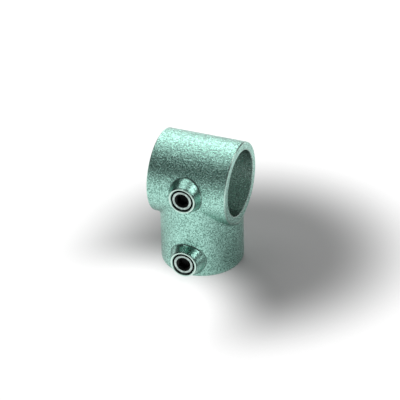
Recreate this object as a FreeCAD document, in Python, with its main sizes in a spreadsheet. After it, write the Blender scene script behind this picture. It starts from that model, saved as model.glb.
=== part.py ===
import FreeCAD, Part
import math
import os
import re
import Sketcher

# Short tee for round tube: one iron casting and the two set screws that grip the tubes.
# The crossbar tube runs along X through the sleeve, and the upright stands in the socket below it.
# The origin is where the two tube axes cross, Z is up, and both screws come in from -Y.

# Driving sizes in millimetres and degrees. Every alias has an underscore, which bind() relies on.
SIZES = (
    ("tube_diameter", 48.3),
    ("tube_clearance", 0.45),
    ("casting_wall", 6.15),
    ("sleeve_overhang", 0.25),
    ("sleeve_overrun", 12.0),
    ("sleeve_edge_round", 1.2),
    ("socket_step", 0.25),
    ("socket_drop", 69.0),
    ("socket_edge_round", 4.4),
    ("stop_thickness", 5.4),
    ("core_opening", 38.0),
    ("crease_round", 2.5),
    ("bore_mouth_round", 0.6),
    ("stop_edge_round", 1.0),
    ("boss_height", 7.25),
    ("boss_land", 0.92),
    ("boss_draft", 18.0),
    ("boss_edge_round", 0.6),
    ("boss_root_round", 1.2),
    ("lower_boss_rise", 15.0),
    ("thread_diameter", 16.66),
    ("thread_clearance", 0.05),
    ("thread_mouth", 0.7),
    ("screw_length", 12.7),
    ("screw_tip_gap", 0.2),
    ("screw_face_chamfer", 1.1),
    ("screw_tip_chamfer", 1.6),
    ("key_across_flats", 8.0),
    ("key_depth", 6.0),
    ("key_mouth", 11.2),
    ("key_drill_point", 1.2),
    ("cup_mouth", 9.6),
    ("cup_depth", 1.6),
)

# Sizes that follow from the driving ones.
DERIVED = (
    ("bore_radius", "=tube_diameter / 2 + tube_clearance"),
    ("sleeve_radius", "=bore_radius + casting_wall"),
    ("socket_radius", "=sleeve_radius - socket_step"),
    ("socket_depth", "=socket_drop - bore_radius - stop_thickness"),
    ("sleeve_length", "=2 * (socket_radius + sleeve_overhang)"),
    ("hole_radius", "=thread_diameter / 2 + thread_clearance"),
    ("boss_rim", "=2 * (hole_radius + thread_mouth + boss_land)"),
    ("boss_face", "=sleeve_radius + boss_height"),
    ("boss_start", "=bore_radius + casting_wall / 3"),
    ("boss_start_radius", "=boss_rim / 2 + (boss_face - boss_start) * tan(boss_draft * 1deg)"),
    ("lower_boss_drop", "=socket_drop - lower_boss_rise"),
    ("screw_tip", "=bore_radius + screw_tip_gap"),
    ("screw_face", "=screw_tip + screw_length"),
)

ALIAS = re.compile(r"\b[a-z]+(?:_[a-z]+)+\b")

# How near a point lies to a face that it is on, and to a cone, whose edges are less exact.
TOUCH = 1e-4
CLOSE = 1e-3
EDGE_SAMPLES = 7

doc = FreeCAD.newDocument("tee_fitting")
sheet = doc.addObject("Spreadsheet::Sheet", "Sizes")


def fill_sheet():
    for row, (alias, value) in enumerate(SIZES + DERIVED, start=1):
        sheet.set(f"A{row}", alias)
        sheet.set(f"B{row}", str(value))
        sheet.setAlias(f"B{row}", alias)
    doc.recompute()


def from_sheet(text):
    """The expression with each alias read from the sheet."""
    return ALIAS.sub(lambda found: "Sizes." + found.group(0), text)


def value_of(text):
    """The expression's value now, as a plain number."""
    value = sheet.evalExpression(from_sheet(text))
    return float(getattr(value, "Value", value))


def bind(item, target, text):
    item.setExpression(target, from_sheet(text))


# Sketches

def new_body(name):
    body = doc.addObject("PartDesign::Body", name)
    body.Label = name
    return body


def new_sketch(body, name, role, offset=None):
    plane = next(item for item in body.Origin.OriginFeatures if item.Role == role)
    sketch = body.newObject("Sketcher::SketchObject", name)
    sketch.AttachmentSupport = [(plane, "")]
    sketch.MapMode = "FlatFace"
    if offset:
        bind(sketch, "AttachmentOffset.Base.z", offset)
    return sketch


def pin_point(sketch, line, end, across, up):
    """Hold a line's end, 1 or 2, or a circle's centre, 3, at the given place."""
    for kind, axis, text in (("DistanceX", -2, across), ("DistanceY", -1, up)):
        if text == "0":
            sketch.addConstraint(Sketcher.Constraint("PointOnObject", line, end, axis))
            continue
        number = sketch.addConstraint(Sketcher.Constraint(kind, -1, 1, line, end, value_of(text)))
        bind(sketch, f"Constraints[{number}]", text)


def draw_circle(sketch, radius):
    """A circle round the sketch's origin."""
    circle = sketch.addGeometry(Part.Circle(FreeCAD.Vector(), FreeCAD.Vector(0, 0, 1), value_of(radius)))
    pin_point(sketch, circle, 3, "0", "0")
    number = sketch.addConstraint(Sketcher.Constraint("Radius", circle, value_of(radius)))
    bind(sketch, f"Constraints[{number}]", radius)


def draw_outline(sketch, corners):
    """A closed outline of straight lines through the corners, each at its own place."""
    places = [FreeCAD.Vector(value_of(across), value_of(up), 0) for across, up in corners]
    first = sketch.GeometryCount
    for number, place in enumerate(places):
        sketch.addGeometry(Part.LineSegment(place, places[(number + 1) % len(places)]))
    for number, (across, up) in enumerate(corners):
        line = first + number
        before = first + (number - 1) % len(corners)
        sketch.addConstraint(Sketcher.Constraint("Coincident", before, 2, line, 1))
        pin_point(sketch, line, 1, across, up)


# Features

def add_feature(body, kind, name, sketch):
    feature = body.newObject("PartDesign::" + kind, name)
    feature.Profile = sketch
    feature.Refine = False
    return feature


def pad(body, name, sketch, length, both_ways=False, backwards=False):
    feature = add_feature(body, "Pad", name, sketch)
    feature.Midplane = both_ways
    feature.Reversed = backwards
    bind(feature, "Length", length)
    doc.recompute()


def pocket(body, name, sketch, length, both_ways=False, backwards=False):
    feature = add_feature(body, "Pocket", name, sketch)
    feature.Midplane = both_ways
    feature.Reversed = backwards
    bind(feature, "Length", length)
    recompute_and_check_cut(body, feature)


def turn(body, name, sketch):
    """Turn a profile about the sketch's own upright axis."""
    feature = add_feature(body, "Revolution", name, sketch)
    feature.ReferenceAxis = (sketch, ["V_Axis"])
    feature.Angle = 360
    doc.recompute()


def groove(body, name, sketch):
    """Cut away a profile turned about the sketch's own upright axis."""
    feature = add_feature(body, "Groove", name, sketch)
    feature.ReferenceAxis = (sketch, ["V_Axis"])
    feature.Angle = 360
    recompute_and_check_cut(body, feature)


def recompute_and_check_cut(body, feature):
    before = feature.BaseFeature.Shape.Volume
    doc.recompute()
    if not feature.Shape.Volume < before - TOUCH:
        raise RuntimeError(f"{feature.Name} cuts nothing from {body.Label}")


def edges_where(shape, test):
    """Names of the edges whose every sampled point passes the test."""
    names = []
    for number, edge in enumerate(shape.Edges, start=1):
        first, last = edge.ParameterRange
        step = (last - first) / EDGE_SAMPLES
        points = [edge.valueAt(first + step * count) for count in range(EDGE_SAMPLES + 1)]
        if all(test(point) for point in points):
            names.append(f"Edge{number}")
    return names


def round_edges(body, name, radius, test):
    base = body.Tip
    names = edges_where(base.Shape, test)
    if not names:
        raise RuntimeError(f"{name} finds no edge on {body.Label}")
    feature = body.newObject("PartDesign::Fillet", name)
    feature.Base = (base, names)
    feature.Refine = False
    bind(feature, "Radius", radius)
    doc.recompute()


def near(a, b):
    return abs(a - b) < TOUCH


# The casting

BOSSES = (("upper", "0"), ("lower", "-lower_boss_drop"))


def around_x(point, radius):
    return near(math.hypot(point.y, point.z), value_of(radius))


def around_z(point, radius):
    return near(math.hypot(point.x, point.y), value_of(radius))


def at_socket_end(point):
    return near(point.z, -value_of("socket_drop"))


def at_sleeve_end(point):
    return near(abs(point.x), value_of("sleeve_length / 2"))


def add_sleeve_and_socket(body):
    sleeve = new_sketch(body, "sleeve_section", "YZ_Plane")
    draw_circle(sleeve, "sleeve_radius")
    pad(body, "sleeve_blank", sleeve, "sleeve_length + 2 * sleeve_overrun", both_ways=True)

    socket = new_sketch(body, "socket_section", "XY_Plane")
    draw_circle(socket, "socket_radius")
    pad(body, "socket_blank", socket, "socket_drop", backwards=True)

    round_edges(body, "crease_fillet", "crease_round",
                lambda point: around_x(point, "sleeve_radius") and around_z(point, "socket_radius"))

    # The sleeve is made long, so that its fillet runs out cleanly through both end faces.
    ends = new_sketch(body, "sleeve_ends", "XY_Plane")
    for side in ("", "-"):
        near_end = side + "(sleeve_length / 2)"
        far_end = side + "(sleeve_length / 2 + 2 * sleeve_overrun)"
        draw_outline(ends, [(near_end, "-2 * sleeve_radius"), (far_end, "-2 * sleeve_radius"),
                            (far_end, "2 * sleeve_radius"), (near_end, "2 * sleeve_radius")])
    pocket(body, "trimmed_ends", ends, "4 * socket_drop", both_ways=True)

    round_edges(body, "socket_end_round", "socket_edge_round",
                lambda point: at_socket_end(point) and around_z(point, "socket_radius"))


def add_bosses(body):
    for name, height in BOSSES:
        cone = new_sketch(body, name + "_boss_profile", "XY_Plane", height)
        draw_outline(cone, [("0", "-boss_start"), ("0", "-boss_face"),
                            ("boss_rim / 2", "-boss_face"), ("boss_start_radius", "-boss_start")])
        turn(body, name + "_boss", cone)


def cut_bores(body):
    crossbar_bore = new_sketch(body, "crossbar_bore_section", "YZ_Plane")
    draw_circle(crossbar_bore, "bore_radius")
    pocket(body, "crossbar_bore", crossbar_bore, "2 * sleeve_length", both_ways=True)

    socket_bore = new_sketch(body, "socket_bore_section", "XY_Plane", "-socket_drop")
    draw_circle(socket_bore, "bore_radius")
    pocket(body, "socket_bore", socket_bore, "socket_depth", backwards=True)

    # The ring left round this opening is the stop that the upright tube meets.
    opening = new_sketch(body, "core_opening_section", "XY_Plane")
    draw_circle(opening, "core_opening / 2")
    pocket(body, "core_opening", opening, "socket_drop - socket_depth / 2")


def cut_threaded_holes(body):
    for name, height in BOSSES:
        hole = new_sketch(body, name + "_hole_profile", "XY_Plane", height)
        draw_outline(hole, [("0", "-bore_radius / 2"), ("0", "-2 * boss_face"),
                            ("hole_radius + thread_mouth", "-2 * boss_face"),
                            ("hole_radius + thread_mouth", "-boss_face"),
                            ("hole_radius", "-boss_face + thread_mouth"),
                            ("hole_radius", "-bore_radius / 2")])
        groove(body, name + "_hole", hole)


def round_bosses(body):
    boss_face = value_of("boss_face")
    rim_radius = value_of("boss_rim") / 2
    sleeve_radius = value_of("sleeve_radius")
    slope = math.tan(math.radians(value_of("boss_draft")))
    for name, height_text in BOSSES:
        height = value_of(height_text)

        def on_root(point):
            cone_radius = rim_radius + (boss_face + point.y) * slope
            on_cone = abs(math.hypot(point.x, point.z - height) - cone_radius) < CLOSE
            return on_cone and point.y > -sleeve_radius

        def on_rim(point):
            return near(point.y, -boss_face) and near(math.hypot(point.x, point.z - height), rim_radius)

        round_edges(body, name + "_boss_root", "boss_root_round", on_root)
        round_edges(body, name + "_boss_rim", "boss_edge_round", on_rim)


def round_ends(body):
    def on_bore_mouth(point):
        return (at_sleeve_end(point) and around_x(point, "bore_radius")
                or at_socket_end(point) and around_z(point, "bore_radius"))

    def on_sleeve_outline(point):
        return at_sleeve_end(point) and math.hypot(point.y, point.z) > value_of("bore_radius") + CLOSE

    def on_opening(point):
        at_stop = near(point.z, -value_of("socket_drop - socket_depth"))
        return around_z(point, "core_opening / 2") and (at_stop or around_x(point, "bore_radius"))

    round_edges(body, "bore_mouths", "bore_mouth_round", on_bore_mouth)
    round_edges(body, "sleeve_end_edges", "sleeve_edge_round", on_sleeve_outline)
    round_edges(body, "opening_edges", "stop_edge_round", on_opening)


def build_casting():
    body = new_body("casting")
    add_sleeve_and_socket(body)
    add_bosses(body)
    cut_bores(body)
    cut_threaded_holes(body)
    round_bosses(body)
    round_ends(body)
    return body


# The set screws

def build_set_screw(name, height):
    """A plain round screw with a hexagon socket in its face and a cup point."""
    body = new_body(name)
    bind(body, "Placement.Base.z", height)

    blank = new_sketch(body, name + "_profile", "XY_Plane")
    draw_outline(blank, [("0", "-screw_face"),
                         ("thread_diameter / 2 - screw_face_chamfer", "-screw_face"),
                         ("thread_diameter / 2", "-screw_face + screw_face_chamfer"),
                         ("thread_diameter / 2", "-screw_tip - screw_tip_chamfer"),
                         ("thread_diameter / 2 - screw_tip_chamfer", "-screw_tip"),
                         ("cup_mouth / 2", "-screw_tip"),
                         ("0", "-screw_tip - cup_depth")])
    turn(body, name + "_blank", blank)

    key = new_sketch(body, name + "_key_section", "XZ_Plane", "screw_face")
    corner = "key_across_flats / sqrt(3)"
    half = "key_across_flats / 2"
    draw_outline(key, [(corner, "0"), (f"{corner} / 2", half), (f"-{corner} / 2", half),
                       (f"-{corner}", "0"), (f"-{corner} / 2", f"-{half}"), (f"{corner} / 2", f"-{half}")])
    pocket(body, name + "_key_socket", key, "key_depth")

    mouth = new_sketch(body, name + "_mouth_profile", "XY_Plane")
    draw_outline(mouth, [("0", "-screw_face"), ("key_mouth / 2", "-screw_face"),
                         ("0", "-screw_face + key_mouth / 2")])
    groove(body, name + "_key_mouth", mouth)

    point = new_sketch(body, name + "_drill_profile", "XY_Plane")
    draw_outline(point, [("0", "-screw_face + key_depth - key_drill_point"),
                         ("key_across_flats / 2", "-screw_face + key_depth - key_drill_point"),
                         ("key_across_flats / 2", "-screw_face + key_depth"),
                         ("0", "-screw_face + key_depth + key_drill_point")])
    groove(body, name + "_drill_point", point)
    return body


def check_and_write(bodies):
    for item in doc.Objects:
        if "Invalid" in item.State or "Error" in item.State:
            raise RuntimeError(f"{item.Name} failed: {item.State}")
    for body in bodies:
        if body.Shape.isNull() or not body.Shape.isValid() or len(body.Shape.Solids) != 1:
            raise RuntimeError(f"{body.Label} isn't one sound solid")
    os.makedirs("parts", exist_ok=True)
    for body in bodies:
        body.Shape.exportStep(f"parts/{body.Label}.step")
        print(body.Label, round(body.Shape.Volume), "cubic mm")


fill_sheet()
casting = build_casting()
crossbar_screw = build_set_screw("crossbar_set_screw", "0")
upright_screw = build_set_screw("upright_set_screw", "-lower_boss_drop")
doc.recompute()
check_and_write((casting, crossbar_screw, upright_screw))
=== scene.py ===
import math

import bpy
import numpy as np
from mathutils import Matrix, Vector


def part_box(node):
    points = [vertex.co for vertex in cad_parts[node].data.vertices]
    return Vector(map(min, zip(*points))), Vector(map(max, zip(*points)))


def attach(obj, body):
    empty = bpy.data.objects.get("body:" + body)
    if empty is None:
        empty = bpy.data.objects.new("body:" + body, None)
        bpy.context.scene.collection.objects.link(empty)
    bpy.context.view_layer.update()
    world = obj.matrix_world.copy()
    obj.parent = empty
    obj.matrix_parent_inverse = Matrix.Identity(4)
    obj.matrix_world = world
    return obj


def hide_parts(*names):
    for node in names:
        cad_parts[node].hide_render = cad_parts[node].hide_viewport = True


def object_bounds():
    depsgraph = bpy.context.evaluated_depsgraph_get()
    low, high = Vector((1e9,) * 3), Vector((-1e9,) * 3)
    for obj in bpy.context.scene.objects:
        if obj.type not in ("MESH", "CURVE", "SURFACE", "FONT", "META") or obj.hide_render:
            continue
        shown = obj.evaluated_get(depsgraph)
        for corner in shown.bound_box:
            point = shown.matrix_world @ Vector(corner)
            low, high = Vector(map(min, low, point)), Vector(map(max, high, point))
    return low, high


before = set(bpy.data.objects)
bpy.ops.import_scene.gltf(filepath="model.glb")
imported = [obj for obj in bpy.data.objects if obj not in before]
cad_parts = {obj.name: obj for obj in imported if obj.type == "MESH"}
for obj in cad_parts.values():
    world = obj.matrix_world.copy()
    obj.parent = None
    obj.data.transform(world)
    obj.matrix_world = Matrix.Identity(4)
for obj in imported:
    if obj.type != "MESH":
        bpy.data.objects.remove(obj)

# A galvanised iron tee fitting with its two set screws, standing on a white studio floor.
# The frame is in metres: X along the sleeve's bore, Z up the socket, and the screws towards -Y.

MM = 0.001
CAD_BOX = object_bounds()

# Each screw's node, and the body that it moves with
SCREWS = {"crossbar_set_screw": "crossbar_screw", "upright_set_screw": "upright_screw"}

# Sizes of the casting
BOSS_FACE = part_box("casting")[0].y
BOSS_RIM_RADIUS = 10.0 * MM
BOSS_TAPER = math.tan(math.radians(18))
BORE_RADIUS = 24.6 * MM
SLEEVE_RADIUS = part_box("casting")[1].z
SLEEVE_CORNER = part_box("casting")[1].x + SLEEVE_RADIUS

# Sizes of the screws, which have a 3/8 inch parallel pipe thread
SCREW_LOW, SCREW_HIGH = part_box("crossbar_set_screw")
THREAD_RADIUS = (SCREW_HIGH.x - SCREW_LOW.x) / 2
THREAD_PITCH = 1.337 * MM
THREAD_DEPTH = 0.856 * MM
THREAD_CLEARANCE = 0.05 * MM
HOLE_RADIUS = THREAD_RADIUS + THREAD_CLEARANCE
HOLE_MOUTH_CHAMFER = 0.7 * MM
FACE_CHAMFER = 1.1 * MM
TIP_CHAMFER = 1.6 * MM
KEY_ACROSS_FLATS = 8.0 * MM
KEY_MOUTH_RADIUS = 5.6 * MM
KEY_DEPTH = 6.0 * MM
KEY_DRILL_POINT = 1.2 * MM
CUP_RADIUS = 4.8 * MM
CUP_DEPTH = 1.6 * MM
WORN_EDGE = 0.15 * MM


def direction(azimuth, elevation):
    """Unit vector from the object towards that side: azimuth 0 is -Y, and it grows towards +X."""
    turn, rise = math.radians(azimuth), math.radians(elevation)
    return Vector((math.sin(turn) * math.cos(rise), -math.cos(turn) * math.cos(rise), math.sin(rise)))


def facing(back, up):
    """Rotation of a camera or lamp that looks along -back with its top towards up."""
    right = up.cross(back).normalized()
    return Matrix((right, back.cross(right), back)).transposed()


def axis_height(node):
    """Height of that screw's axis."""
    low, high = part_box(node)
    return (low.z + high.z) / 2


# Shader nodes

def new_node(tree, kind, inputs, **settings):
    """Adds a node. Each of its inputs is given a value, or the output of another node."""
    node = tree.nodes.new("ShaderNode" + kind)
    for key, value in settings.items():
        setattr(node, key, value)
    for key, value in inputs.items():
        if isinstance(value, bpy.types.NodeSocket):
            tree.links.new(value, node.inputs[key])
        else:
            node.inputs[key].default_value = value
    return node


def maths(tree, operation, first, second=0.0):
    return new_node(tree, "Math", {0: first, 1: second}, operation=operation).outputs[0]


def place_on_surface(tree):
    return new_node(tree, "TexCoord", {}).outputs["Object"]


def split(tree, place):
    """The place's X, Y and Z."""
    return new_node(tree, "SeparateXYZ", {0: place}).outputs[:3]


def distance(tree, place, other):
    return new_node(tree, "VectorMath", {0: place, 1: other}, operation="DISTANCE").outputs["Value"]


def length(tree, first, second):
    """Length of the diagonal of a rectangle with those sides."""
    diagonal = new_node(tree, "CombineXYZ", {0: first, 1: second}).outputs[0]
    return new_node(tree, "VectorMath", {0: diagonal}, operation="LENGTH").outputs["Value"]


def grade(tree, value, span, start=0.0, end=1.0):
    """Goes smoothly from start to end while value crosses the span, and is level on both sides of it."""
    inputs = {"Value": value, "From Min": span[0], "From Max": span[1], "To Min": start, "To Max": end}
    return new_node(tree, "MapRange", inputs, interpolation_type="SMOOTHSTEP").outputs["Result"]


def between(tree, value, first_span, second_span, level):
    """Rises from 0 to level while value crosses the first span, and falls to 0 across the second."""
    rise = grade(tree, value, first_span)
    return maths(tree, "MULTIPLY", rise, grade(tree, value, second_span, level, 0.0))


def mixed_number(tree, share, first, second):
    """The first number where share is 0, and the second where it is 1."""
    return new_node(tree, "Mix", {0: share, 2: first, 3: second}, data_type="FLOAT").outputs[0]


def mixed_colour(tree, share, first, second):
    return new_node(tree, "Mix", {0: share, 6: first, 7: second}, data_type="RGBA").outputs[2]


def noise(tree, place, cells, detail=2.0, roughness=0.5):
    """Noise with that many cells to the millimetre."""
    inputs = {"Vector": place, "Scale": cells / MM, "Detail": detail, "Roughness": roughness}
    return new_node(tree, "TexNoise", inputs).outputs["Fac"]


def bump(tree, relief, height, strength=1.0, under=None):
    """The normal of relief of that height, laid over the normal under it."""
    inputs = {"Height": relief, "Distance": height, "Strength": strength}
    if under is not None:
        inputs["Normal"] = under
    return new_node(tree, "Bump", inputs).outputs["Normal"]


def from_nearer_hole_axis(tree, x, z):
    """Distance from the axis of the nearer screw hole."""
    distances = [length(tree, x, maths(tree, "SUBTRACT", z, axis_height(node))) for node in SCREWS]
    return maths(tree, "MINIMUM", *distances)


# Camera

# The photograph is 400 pixels square, and the frame's origin shows at this pixel of it.
PICTURE_SIZE = 400
ORIGIN_PIXEL = (201.1, 175.9)
FOCAL_PIXELS = 3572
SENSOR_WIDTH = 36.0
CAMERA_DISTANCE = 2.6
CAMERA_AZIMUTH = 22.6
CAMERA_ELEVATION = 31.0
CAMERA_ROLL = -1.34
NEAREST_SEEN = 0.1
FARTHEST_SEEN = 100


def add_camera():
    back = direction(CAMERA_AZIMUTH, CAMERA_ELEVATION)
    level = Vector((0, 0, 1)).cross(back).normalized()
    right = Matrix.Rotation(math.radians(CAMERA_ROLL), 3, back) @ level
    up = back.cross(right)
    place = back * CAMERA_DISTANCE
    metres_per_pixel = CAMERA_DISTANCE / FOCAL_PIXELS
    across = (PICTURE_SIZE / 2 - ORIGIN_PIXEL[0]) * metres_per_pixel
    down = (PICTURE_SIZE / 2 - ORIGIN_PIXEL[1]) * metres_per_pixel
    aim = right * across - up * down

    data = bpy.data.cameras.new("camera")
    data.sensor_width = SENSOR_WIDTH
    data.lens = FOCAL_PIXELS / PICTURE_SIZE * SENSOR_WIDTH
    data.clip_start = NEAREST_SEEN
    data.clip_end = FARTHEST_SEEN
    camera = bpy.data.objects.new("camera", data)
    turned = facing((place - aim).normalized(), up)
    camera.matrix_world = Matrix.Translation(place) @ turned.to_4x4()
    bpy.context.scene.collection.objects.link(camera)
    bpy.context.scene.camera = camera


# Light

# Each softbox has an azimuth and an elevation, a width and a height in metres, and a brightness. Where the
# sine of its elevation is above NEARLY_OVERHEAD, its top is towards +Y.
SOFTBOX_DISTANCE = 2.0
NEARLY_OVERHEAD = 0.9
SOFTBOXES = {
    "front": (8, 4, 1.0, 0.25, 1.5),
    "right": (114, 42, 0.7, 1.3, 2.6),
    "back": (-150, 34, 1.2, 1.1, 3.7),
    "overhead": (178, 66, 1.5, 0.8, 0.9),
    "left": (-90, 70, 1.0, 1.0, 2.1),
    "fill": (-24, 38, 1.2, 0.9, 0.22),
}

# The wall's top edge is soft, between these two sines of its elevation.
WALL_TOP = (0.05, 0.16)
WALL_BRIGHTNESS = 0.6
ROOM_GREY = 0.06

# The metal's upright walls mirror the floor close to them, which glows. The glow is strongest in a painted
# pool of light in front of the fitting, and a painted shadow to the right of it takes most of it away. Both
# have soft edges.
FLOOR_HEIGHT = CAD_BOX[0].z
FLOOR_SIZE = 12
FLOOR_GREY = 0.33
FLOOR_GLOW = 0.86
POOL_GLOW = 1.0
POOL_CENTRE = direction(-12, 0) * 0.085
POOL_EDGE = (0.035, 0.105)
SHADE_DEPTH = 0.93
SHADE_CENTRE = direction(118, 0) * 0.034
SHADE_EDGE = (0.055, 0.15)


def add_softbox(name, azimuth, elevation, width, height, brightness):
    """A softbox whose power grows with its area, so that its surface keeps the same brightness."""
    back = direction(azimuth, elevation)
    data = bpy.data.lights.new(name, "AREA")
    data.shape = "RECTANGLE"
    data.size = width
    data.size_y = height
    data.energy = brightness * math.pi * width * height
    lamp = bpy.data.objects.new(name, data)
    up = Vector((0, 1, 0)) if abs(back.z) > NEARLY_OVERHEAD else Vector((0, 0, 1))
    lamp.matrix_world = Matrix.Translation(back * SOFTBOX_DISTANCE) @ facing(back, up).to_4x4()
    bpy.context.scene.collection.objects.link(lamp)


def add_world():
    """A white wall round the floor, and above it a dim room, where the softboxes hang."""
    world = bpy.data.worlds.new("studio")
    world.use_nodes = True
    tree = world.node_tree
    tree.nodes.clear()
    height = split(tree, new_node(tree, "TexCoord", {}).outputs["Generated"])[2]
    above_wall = grade(tree, height, WALL_TOP)
    wall = new_node(tree, "Background", {"Color": (1, 1, 1, 1), "Strength": WALL_BRIGHTNESS})
    room = new_node(tree, "Background", {"Color": (ROOM_GREY, ROOM_GREY, ROOM_GREY, 1), "Strength": 1.0})
    light = new_node(tree, "MixShader", {0: above_wall, 1: wall.outputs[0], 2: room.outputs[0]})
    new_node(tree, "OutputWorld", {"Surface": light.outputs[0]})
    bpy.context.scene.world = world


def white_paper():
    """Pale paper that keeps shadows, with a glow that only the camera, mirrors and glass see.

    The glow holds a painted pool of light and a painted shadow.
    """
    material = bpy.data.materials.new("white_paper")
    material.use_nodes = True
    tree = material.node_tree
    tree.nodes.clear()
    path = new_node(tree, "LightPath", {})
    shown = maths(tree, "MAXIMUM", path.outputs["Is Camera Ray"], path.outputs["Is Glossy Ray"])
    shown = maths(tree, "MAXIMUM", shown, path.outputs["Is Transmission Ray"])
    place = place_on_surface(tree)
    # Painted pool of light in front of the fitting and painted shadow to its right, in the floor's glow
    from_pool = distance(tree, place, POOL_CENTRE)
    from_shade = distance(tree, place, SHADE_CENTRE)
    shade = maths(tree, "MULTIPLY", grade(tree, from_shade, SHADE_EDGE, SHADE_DEPTH, 0.0),
                  grade(tree, from_pool, POOL_EDGE))
    glow = maths(tree, "MULTIPLY", grade(tree, from_pool, POOL_EDGE, POOL_GLOW, FLOOR_GLOW),
                 maths(tree, "SUBTRACT", 1.0, shade))
    glow = maths(tree, "MULTIPLY", shown, glow)
    paper = new_node(tree, "BsdfDiffuse", {"Color": (FLOOR_GREY, FLOOR_GREY, FLOOR_GREY, 1)})
    light = new_node(tree, "Emission", {"Color": (1, 1, 1, 1), "Strength": glow})
    both = new_node(tree, "AddShader", {0: paper.outputs[0], 1: light.outputs[0]})
    new_node(tree, "OutputMaterial", {"Surface": both.outputs[0]})
    return material


def add_floor():
    bpy.ops.mesh.primitive_plane_add(size=FLOOR_SIZE, location=(0, 0, FLOOR_HEIGHT))
    floor = bpy.context.object
    floor.name = "floor"
    floor.data.materials.append(white_paper())


# Finish of the casting

ZINC_LOW = (0.295, 0.55, 0.47, 1)
ZINC_HIGH = (0.44, 0.76, 0.66, 1)
ZINC_PIT = (0.14, 0.275, 0.23, 1)
ZINC_IN_BORE = (0.42, 0.50, 0.47, 1)
ZINC_WORN = (0.60, 0.80, 0.72, 1)
# Painted shade, dark in the crease round each boss's foot and in a thin line behind its land
BOSS_PAINTED_SHADE = (0.08, 0.14, 0.12, 1)
# Black dirt and painted shade in each screw hole's wall and mouth
HOLE_DIRT_AND_SHADE = (0.01, 0.015, 0.014, 1)

# The relief is fine grain with some broader mottle in it. Its lowest and highest places differ in colour
# and roughness, and the grain's lowest places are dark pits.
GRAIN_CELLS = 1.0
MOTTLE_CELLS = 0.35
MOTTLE_SHARE = 0.25
RELIEF_SPAN = (0.38, 0.62)
RELIEF_HEIGHT = 0.65 * MM
PIT_SPAN = (0.34, 0.53)
SWELL_CELLS = 0.11
SWELL_HEIGHT = 0.2 * MM
LOW_ROUGHNESS = 0.32
HIGH_ROUGHNESS = 0.24
WORN_ROUGHNESS = 0.3
WORN_RELIEF = 0.1

# How strong the marks are
FOOT_PAINTED_SHADE = 0.8
RIM_PAINTED_SHADE = 0.75
CONE_SMOOTHNESS = 0.7
BORE_DULLNESS = 0.7
CORNER_WEAR = 0.7

# The marks start and end softly, each over a span. These spans are measured out from a boss's cone.
FOOT_STARTS = (0.03 * MM, 0.2 * MM)
FOOT_ENDS = (0.4 * MM, 1.1 * MM)
CONE_ENDS = (0.1 * MM, 0.5 * MM)

# These are measured back from a boss's face.
LAND_ENDS = (0.2 * MM, 0.45 * MM)
RIM_STARTS = (0.35 * MM, 0.6 * MM)
RIM_ENDS = (1.1 * MM, 1.6 * MM)

# These are places along Y, which the marks lie in front of.
FOOT_BACK = (-BORE_RADIUS - 0.8 * MM, -BORE_RADIUS - 0.2 * MM)
HOLE_BACK = (-23.0 * MM, -22.0 * MM)

# These are distances from the axis of a screw hole, and from that of the sleeve.
HOLE_WALL = (HOLE_RADIUS + 0.02 * MM, HOLE_RADIUS + 0.22 * MM)
BORE_WALL = (BORE_RADIUS + 0.4 * MM, BORE_RADIUS + 0.9 * MM)
SLEEVE_WALL = (SLEEVE_RADIUS + 0.2 * MM, SLEEVE_RADIUS + 0.4 * MM)

# This is the length along X plus that out from the sleeve's axis, which is largest at the sleeve's corners.
CORNER_STARTS = (SLEEVE_CORNER - 1.1 * MM, SLEEVE_CORNER - 0.7 * MM)


def new_material(name, inputs):
    """A material and its shader, whose inputs are given these values."""
    material = bpy.data.materials.new(name)
    material.use_nodes = True
    shader = material.node_tree.nodes["Principled BSDF"]
    for key, value in inputs.items():
        shader.inputs[key].default_value = value
    return material, shader


def boss_painted_shade(tree, y, behind_face, from_cone):
    """Painted shade in the corner round the foot of each boss, and a painted dark line behind the turned
    land at its rim.
    """
    foot = maths(tree, "MULTIPLY", between(tree, from_cone, FOOT_STARTS, FOOT_ENDS, FOOT_PAINTED_SHADE),
                 grade(tree, y, FOOT_BACK, 1.0, 0.0))
    return maths(tree, "MAXIMUM", between(tree, behind_face, RIM_STARTS, RIM_ENDS, RIM_PAINTED_SHADE), foot)


def rubbed_corners(tree, x, from_sleeve_axis):
    """The sleeve's outer corners at both ends, which are worn bright."""
    corner = maths(tree, "ADD", maths(tree, "ABSOLUTE", x), from_sleeve_axis)
    return maths(tree, "MULTIPLY", grade(tree, corner, CORNER_STARTS),
                 grade(tree, from_sleeve_axis, SLEEVE_WALL, CORNER_WEAR, 0.0))


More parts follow.
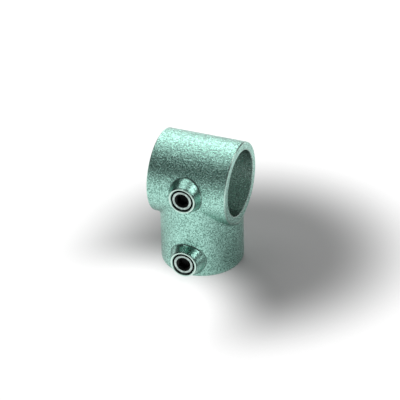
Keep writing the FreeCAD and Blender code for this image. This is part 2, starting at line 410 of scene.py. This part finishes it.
def cast_zinc():
    """Zinc on cast iron: grainy, with painted shade round the bosses, and bright where it is turned or
    rubbed.
    """
    material, shader = new_material("cast_zinc", {"Metallic": 1.0})
    tree = material.node_tree
    place = place_on_surface(tree)
    x, y, z = split(tree, place)
    from_sleeve_axis = length(tree, y, z)
    from_hole_axis = from_nearer_hole_axis(tree, x, z)
    behind_face = maths(tree, "SUBTRACT", y, BOSS_FACE)
    cone_radius = maths(tree, "ADD", BOSS_RIM_RADIUS, maths(tree, "MULTIPLY", behind_face, BOSS_TAPER))
    from_cone = maths(tree, "SUBTRACT", from_hole_axis, cone_radius)
    in_front = grade(tree, y, HOLE_BACK, 1.0, 0.0)

    grain = noise(tree, place, GRAIN_CELLS, detail=3.0, roughness=0.56)
    relief = mixed_number(tree, MOTTLE_SHARE, grain, noise(tree, place, MOTTLE_CELLS))
    height = grade(tree, relief, RELIEF_SPAN)
    pits = grade(tree, grain, PIT_SPAN, 1.0, 0.0)

    # Painted shade round the bosses
    painted_shade = boss_painted_shade(tree, y, behind_face, from_cone)
    in_bore = grade(tree, from_sleeve_axis, BORE_WALL, BORE_DULLNESS, 0.0)
    land = grade(tree, behind_face, LAND_ENDS, 1.0, 0.0)
    worn = maths(tree, "MAXIMUM", land, rubbed_corners(tree, x, from_sleeve_axis))
    cone = maths(tree, "MULTIPLY", grade(tree, from_cone, CONE_ENDS, CONE_SMOOTHNESS, 0.0), in_front)
    smooth = maths(tree, "MAXIMUM", worn, cone)
    # Black dirt and painted shade on the wall and mouth of each screw hole, in front
    dirt_and_shade = maths(tree, "MULTIPLY", grade(tree, from_hole_axis, HOLE_WALL, 1.0, 0.0), in_front)

    # Each mark covers those before it.
    marks = ((pits, ZINC_PIT), (painted_shade, BOSS_PAINTED_SHADE), (in_bore, ZINC_IN_BORE), (worn, ZINC_WORN),
             (dirt_and_shade, HOLE_DIRT_AND_SHADE))
    colour = mixed_colour(tree, height, ZINC_LOW, ZINC_HIGH)
    for share, mark in marks:
        colour = mixed_colour(tree, share, colour, mark)
    roughness = grade(tree, height, (0.0, 1.0), LOW_ROUGHNESS, HIGH_ROUGHNESS)
    roughness = mixed_number(tree, worn, roughness, WORN_ROUGHNESS)
    swollen = bump(tree, noise(tree, place, SWELL_CELLS), SWELL_HEIGHT)
    strength = grade(tree, smooth, (0.0, 1.0), 1.0, WORN_RELIEF)
    tree.links.new(colour, shader.inputs["Base Color"])
    tree.links.new(roughness, shader.inputs["Roughness"])
    tree.links.new(bump(tree, relief, RELIEF_HEIGHT, strength, swollen), shader.inputs["Normal"])
    return material


# Finish of the screws

STEEL_STAINED = (0.33, 0.42, 0.39, 1)
STEEL_CLEAN = (0.52, 0.63, 0.59, 1)
STAIN_CELLS = 0.35
STAIN_SPAN = (0.38, 0.62)
STAINED_ROUGHNESS = 0.42
CLEAN_ROUGHNESS = 0.3
SCRATCH_CELLS = 2.5
SCRATCH_HEIGHT = 0.05 * MM

# The thread's clean steel starts softly too, over a span of distances from the axis and another along Y.
CREST_STEEL = (0.42, 0.52, 0.48, 1)
CREST_ROUGHNESS = 0.35
CREST_STARTS = (THREAD_RADIUS - 0.8 * THREAD_DEPTH, THREAD_RADIUS - 0.1 * THREAD_DEPTH)
CLEAN_STARTS = (SCREW_LOW.y + 1.2 * MM, SCREW_LOW.y + 2.2 * MM)
# Black dirt and painted shade in the threads' grooves and in the key sockets
THREAD_DIRT_AND_SHADE = (0.01, 0.014, 0.013, 1)
KEY_DIRT_AND_SHADE = (0.006, 0.009, 0.008, 1)


def plated_steel():
    """The screw's face and tip, plated, with dull stains and fine scratches."""
    material, shader = new_material("plated_steel", {"Metallic": 1.0})
    tree = material.node_tree
    place = place_on_surface(tree)
    clean = grade(tree, noise(tree, place, STAIN_CELLS, detail=3.0, roughness=0.6), STAIN_SPAN)
    colour = mixed_colour(tree, clean, STEEL_STAINED, STEEL_CLEAN)
    roughness = grade(tree, clean, (0.0, 1.0), STAINED_ROUGHNESS, CLEAN_ROUGHNESS)
    normal = bump(tree, noise(tree, place, SCRATCH_CELLS), SCRATCH_HEIGHT)
    tree.links.new(colour, shader.inputs["Base Color"])
    tree.links.new(roughness, shader.inputs["Roughness"])
    tree.links.new(normal, shader.inputs["Normal"])
    return material


def threaded_steel():
    """Black with dirt and painted shade at the screw's face end and in the grooves, plated on the crests
    behind.
    """
    material, shader = new_material("threaded_steel", {"Metallic": 1.0, "Roughness": CREST_ROUGHNESS})
    tree = material.node_tree
    x, y, z = split(tree, place_on_surface(tree))
    on_crest = grade(tree, from_nearer_hole_axis(tree, x, z), CREST_STARTS)
    clean = maths(tree, "MULTIPLY", on_crest, grade(tree, y, CLEAN_STARTS))
    tree.links.new(mixed_colour(tree, clean, THREAD_DIRT_AND_SHADE, CREST_STEEL), shader.inputs["Base Color"])
    return material


def dirt_and_painted_shade():
    """Black dirt and painted shade in the key sockets and in the gaps of the threads."""
    look = {"Metallic": 0.0, "Roughness": 0.45, "Base Color": KEY_DIRT_AND_SHADE, "Specular IOR Level": 0.2}
    return new_material("dirt_and_painted_shade", look)[0]


def paint(node, material):
    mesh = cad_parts[node].data
    mesh.materials.clear()
    mesh.materials.append(material)


# Threads

STEPS_ROUND = 96
STEPS_PER_TURN = 16
TURN = np.linspace(0, 2 * math.pi, STEPS_ROUND, endpoint=False)
SHARP_EDGE = math.radians(34)
DEPTH_IN_WALL = 0.2 * MM

# The materials of a screw, by their number on its mesh
ON_STEEL, ON_DIRT_AND_SHADE, ON_THREADS = range(3)


def build_from_rings(name, rings, materials, bands, end_points=None):
    """Joins rings of points, each as long as the next, into a closed mesh.

    bands holds the number of the material between each ring and the next. Where there are two end points,
    they close the first ring and the last. Without them the last ring joins the first.
    """
    steps = len(rings[0])
    points = [tuple(point) for ring in rings for point in ring]
    faces, slots = [], []
    joins = [(i, i + 1) for i in range(len(rings) - 1)]
    if end_points is None:
        joins.append((len(rings) - 1, 0))
    for (first, second), slot in zip(joins, bands):
        for i in range(steps):
            k = (i + 1) % steps
            faces.append((first * steps + i, first * steps + k, second * steps + k, second * steps + i))
            slots.append(slot)
    last = (len(rings) - 1) * steps
    for start, point, slot in zip((0, last), end_points or (), (bands[0], bands[-1])):
        points.append(tuple(point))
        for i in range(steps):
            k = (i + 1) % steps
            edge = (start + k, start + i) if start == 0 else (start + i, start + k)
            faces.append((*edge, len(points) - 1))
            slots.append(slot)
    mesh = bpy.data.meshes.new(name)
    mesh.from_pydata(points, [], faces)
    for material in materials:
        mesh.materials.append(material)
    mesh.polygons.foreach_set("material_index", slots)
    mesh.polygons.foreach_set("use_smooth", [True] * len(faces))
    mesh.set_sharp_from_angle(angle=SHARP_EDGE)
    mesh.update()
    piece = bpy.data.objects.new(name, mesh)
    bpy.context.scene.collection.objects.link(piece)
    return piece


def thread_radius(middle, y):
    """The thread's radius for each step round, at these places along Y.

    A pipe thread's rounded form is very nearly a cosine wave. Screw and hole share it, so that they mesh.
    """
    return middle + THREAD_DEPTH / 2 * np.cos(2 * math.pi * y / THREAD_PITCH + TURN)


def ring(radius, y, height):
    """Points round the axis at that height, at these distances from it and places along Y."""
    radius = radius + 0 * TURN
    y = y + 0 * TURN
    return np.stack([radius * np.cos(TURN), y, height + radius * np.sin(TURN)], axis=1)


def threaded_screw(node, body, steel, dirt_and_shade, threads):
    """A set screw, from the bottom of its key socket out over its face and back along it to its cup."""
    low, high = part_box(node)
    height = axis_height(node)
    face, tip = low.y, high.y
    face_edge = THREAD_RADIUS - FACE_CHAMFER
    tip_edge = THREAD_RADIUS - TIP_CHAMFER
    rings, bands = [], []

    def add(radius, y, slot):
        rings.append(ring(radius, y, height))
        bands.append(slot)

    sixth = math.pi / 3
    from_middle_of_flat = (TURN + sixth / 2) % sixth - sixth / 2
    hexagon = KEY_ACROSS_FLATS / 2 / np.cos(from_middle_of_flat)
    # The key socket, black with dirt and painted shade
    add(KEY_ACROSS_FLATS / 2, face + KEY_DEPTH, ON_DIRT_AND_SHADE)
    add(hexagon, face + KEY_DEPTH, ON_DIRT_AND_SHADE)
    add(hexagon, face + KEY_MOUTH_RADIUS - hexagon, ON_DIRT_AND_SHADE)
    add(KEY_MOUTH_RADIUS, face + WORN_EDGE / 2, ON_STEEL)
    add(KEY_MOUTH_RADIUS + WORN_EDGE, face, ON_STEEL)
    add(face_edge - WORN_EDGE, face, ON_STEEL)
    add(face_edge, face + WORN_EDGE / 2, ON_THREADS)
    count = int((tip - face) / THREAD_PITCH * STEPS_PER_TURN)
    for y in np.linspace(face + WORN_EDGE, tip - WORN_EDGE, count):
        chamfer = min(face_edge + y - face, tip_edge + tip - y)
        add(np.minimum(thread_radius(THREAD_RADIUS - THREAD_DEPTH / 2, y), chamfer), y, ON_THREADS)
    add(tip_edge - WORN_EDGE, tip, ON_STEEL)
    add(CUP_RADIUS, tip, ON_STEEL)

    ends = [(0, face + KEY_DEPTH + KEY_DRILL_POINT, height), (0, tip - CUP_DEPTH, height)]
    piece = build_from_rings(node + "_threaded", rings, [steel, dirt_and_shade, threads], bands, ends)
    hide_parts(node)
    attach(piece, body)


def hole_thread(node, dirt_and_shade, bore_along_x):
    """The ridge of the thread in the casting's plain hole, black with dirt and painted shade. Its back is
    sunk in the wall.
    """
    height = axis_height(node)
    middle = HOLE_RADIUS - THREAD_DEPTH / 2
    back = HOLE_RADIUS + DEPTH_IN_WALL
    start = BOSS_FACE + HOLE_MOUTH_CHAMFER
    end = -math.sqrt(BORE_RADIUS ** 2 - HOLE_RADIUS ** 2)
    from_bore_axis = np.sin(TURN) if bore_along_x else np.cos(TURN)

    def bore_wall(radius):
        """Where the hole at that radius reaches the bore, for each step round."""
        return -np.sqrt(BORE_RADIUS ** 2 - (radius * from_bore_axis) ** 2)

    rings = []
    count = int((end - start) / THREAD_PITCH * STEPS_PER_TURN)
    for share in np.linspace(0, 1, count):
        y = start + share * (bore_wall(middle) - start)
        chamfer = HOLE_RADIUS + HOLE_MOUTH_CHAMFER - (y - BOSS_FACE)
        rings.append(ring(np.maximum(thread_radius(middle, y), chamfer), y, height))
    rings.append(ring(back, bore_wall(back) - DEPTH_IN_WALL, height))
    rings.append(ring(back, start + DEPTH_IN_WALL, height))

    piece = build_from_rings(node.replace("set_screw", "hole_thread"), rings, [dirt_and_shade], [0] * len(rings))
    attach(piece, "fitting")


paint("casting", cast_zinc())
steel = plated_steel()
dirt_and_shade = dirt_and_painted_shade()
threads = threaded_steel()
for node, body in SCREWS.items():
    threaded_screw(node, body, steel, dirt_and_shade, threads)
    hole_thread(node, dirt_and_shade, bore_along_x=node == "crossbar_set_screw")

add_camera()
add_world()
add_floor()
for name, settings in SOFTBOXES.items():
    add_softbox(name, *settings)

bpy.context.scene.view_settings.view_transform = "Standard"
